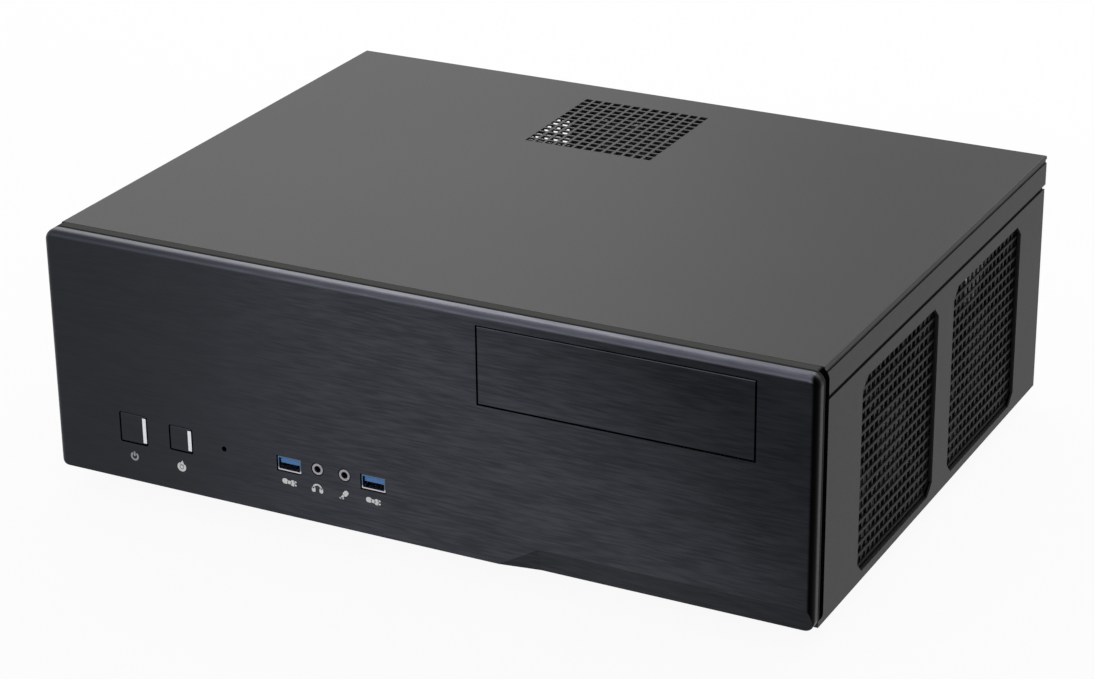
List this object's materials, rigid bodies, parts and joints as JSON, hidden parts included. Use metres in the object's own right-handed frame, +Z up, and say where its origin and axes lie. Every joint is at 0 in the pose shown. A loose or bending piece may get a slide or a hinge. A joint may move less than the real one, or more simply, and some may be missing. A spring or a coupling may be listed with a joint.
{
  "type": "desktop computer",
  "caption": "Low, wide black desktop computer with a brushed aluminium fascia, blank drive bay cover, front buttons and ports, mesh vents and its working parts inside.",
  "frame": {"origin": "on the resting plane, under the middle of the whole object", "axes": "+Z up, front facing -Y, +X to the right as seen from the front"},
  "size_m": [0.44, 0.339, 0.15],
  "materials": {
    "black_aluminium": "brushed, black anodised",
    "black_steel": "fine powder coat",
    "mesh_steel": "dark powder coat on the punched mesh",
    "grey_plastic": "moulded, coloured like the case",
    "zinc_steel": "zinc plated sheet",
    "black_plastic": "moulded, fine texture",
    "smoked_lens": "smoked light pipe",
    "light_bar": "milky light pipe",
    "port_blue": "moulded insert",
    "port_metal": "nickel plated",
    "circuit_board": "solder mask over glass laminate",
    "rubber": "matt",
    "bare_aluminium": "extruded fins",
    "drive_metal": "cast body",
    "steel_wire": "nickel plated wire",
    "spring_steel": "spring wire",
    "fan_plastic": "moulded, satin"
  },
  "bodies": {
    "case": {"front_fascia": "black_aluminium", "fascia_carrier": "grey_plastic", "power_spring": "spring_steel", "power_switch": "black_plastic", "reset_spring": "spring_steel", "reset_switch": "black_plastic", "button_board": "circuit_board", "activity_light_pipe": "smoked_lens", "front_usb_shells": "port_metal", "front_usb_tongues": "port_blue", "headphone_jack": "black_plastic", "microphone_jack": "black_plastic", "front_port_board": "circuit_board", "floor_pan": "black_steel", "front_wall": "black_steel", "rear_wall": "black_steel", "right_wall": "black_steel", "left_wall": "black_steel", "right_front_grille": "mesh_steel", "right_rear_grille": "mesh_steel", "left_grille": "mesh_steel", "cross_brace": "zinc_steel", "feet": "black_plastic", "foot_pads": "rubber", "foot_screws": "zinc_steel", "motherboard": "circuit_board", "board_standoffs": "zinc_steel", "board_screws": "zinc_steel", "rear_ports": "port_metal", "port_shield": "zinc_steel", "slot_covers": "zinc_steel", "expansion_connectors": "black_plastic", "memory_slots": "black_plastic", "memory_modules": "circuit_board", "processor_heatsink": "bare_aluminium", "processor_fan_frame": "fan_plastic", "right_front_fan_frame": "fan_plastic", "right_rear_fan_frame": "fan_plastic", "supply_fan_frame": "fan_plastic", "supply_case": "zinc_steel", "supply_lid": "zinc_steel", "supply_fan_guard": "steel_wire", "mains_inlet": "black_plastic", "mains_switch_frame": "black_plastic", "drive_cage": "zinc_steel", "hard_drive": "drive_metal", "hard_drive_bracket": "zinc_steel"},
    "power_button": {"power_button": "black_aluminium", "power_light_bar": "light_bar"},
    "reset_button": {"reset_button": "black_aluminium", "reset_light_bar": "light_bar"},
    "bay_cover": {"bay_cover_plate": "black_aluminium", "bay_cover_tray": "black_plastic"},
    "top_cover": {"top_cover": "black_steel", "cover_thumbscrews": "black_steel"},
    "right_front_rotor": {"right_front_fan_rotor": "fan_plastic"},
    "right_rear_rotor": {"right_rear_fan_rotor": "fan_plastic"},
    "processor_rotor": {"processor_fan_rotor": "fan_plastic"},
    "supply_rotor": {"supply_fan_rotor": "fan_plastic"},
    "mains_rocker": {"mains_switch_rocker": "black_plastic"}
  },
  "joints": [
    {"name": "power_press", "type": "slide", "parent": "case", "child": "power_button", "axis": [0, 1, 0], "range_m": [0, 0.001], "stiffness_N_per_m": 400, "springref_m": -0.0005, "deforming": ["power_spring"]},
    {"name": "reset_press", "type": "slide", "parent": "case", "child": "reset_button", "axis": [0, 1, 0], "range_m": [0, 0.001], "stiffness_N_per_m": 400, "springref_m": -0.0005, "deforming": ["reset_spring"]},
    {"name": "bay_cover_pull", "type": "slide", "parent": "case", "child": "bay_cover", "axis": [0, -1, 0], "range_m": [0, 0.05]},
    {"name": "top_cover_slide", "type": "slide", "parent": "case", "child": "top_cover", "axis": [0, 1, 0], "range_m": [0, 0.32]},
    {"name": "right_front_fan_spin", "type": "hinge", "parent": "case", "child": "right_front_rotor", "pos_m": [0.2012, -0.0531, 0.0723], "axis": [1, 0, 0], "continuous": true},
    {"name": "right_rear_fan_spin", "type": "hinge", "parent": "case", "child": "right_rear_rotor", "pos_m": [0.2012, 0.0737, 0.0723], "axis": [1, 0, 0], "continuous": true},
    {"name": "processor_fan_spin", "type": "hinge", "parent": "case", "child": "processor_rotor", "pos_m": [0.1, 0.0825, 0.07245], "axis": [0, 0, 1], "continuous": true},
    {"name": "supply_fan_spin", "type": "hinge", "parent": "case", "child": "supply_rotor", "pos_m": [-0.141, 0.0842, 0.0845], "axis": [0, 0, 1], "continuous": true},
    {"name": "mains_switch_rock", "type": "hinge", "parent": "case", "child": "mains_rocker", "pos_m": [-0.16, 0.1592, 0.077], "axis": [1, 0, 0], "range_deg": [-20, 0]}
  ]
}
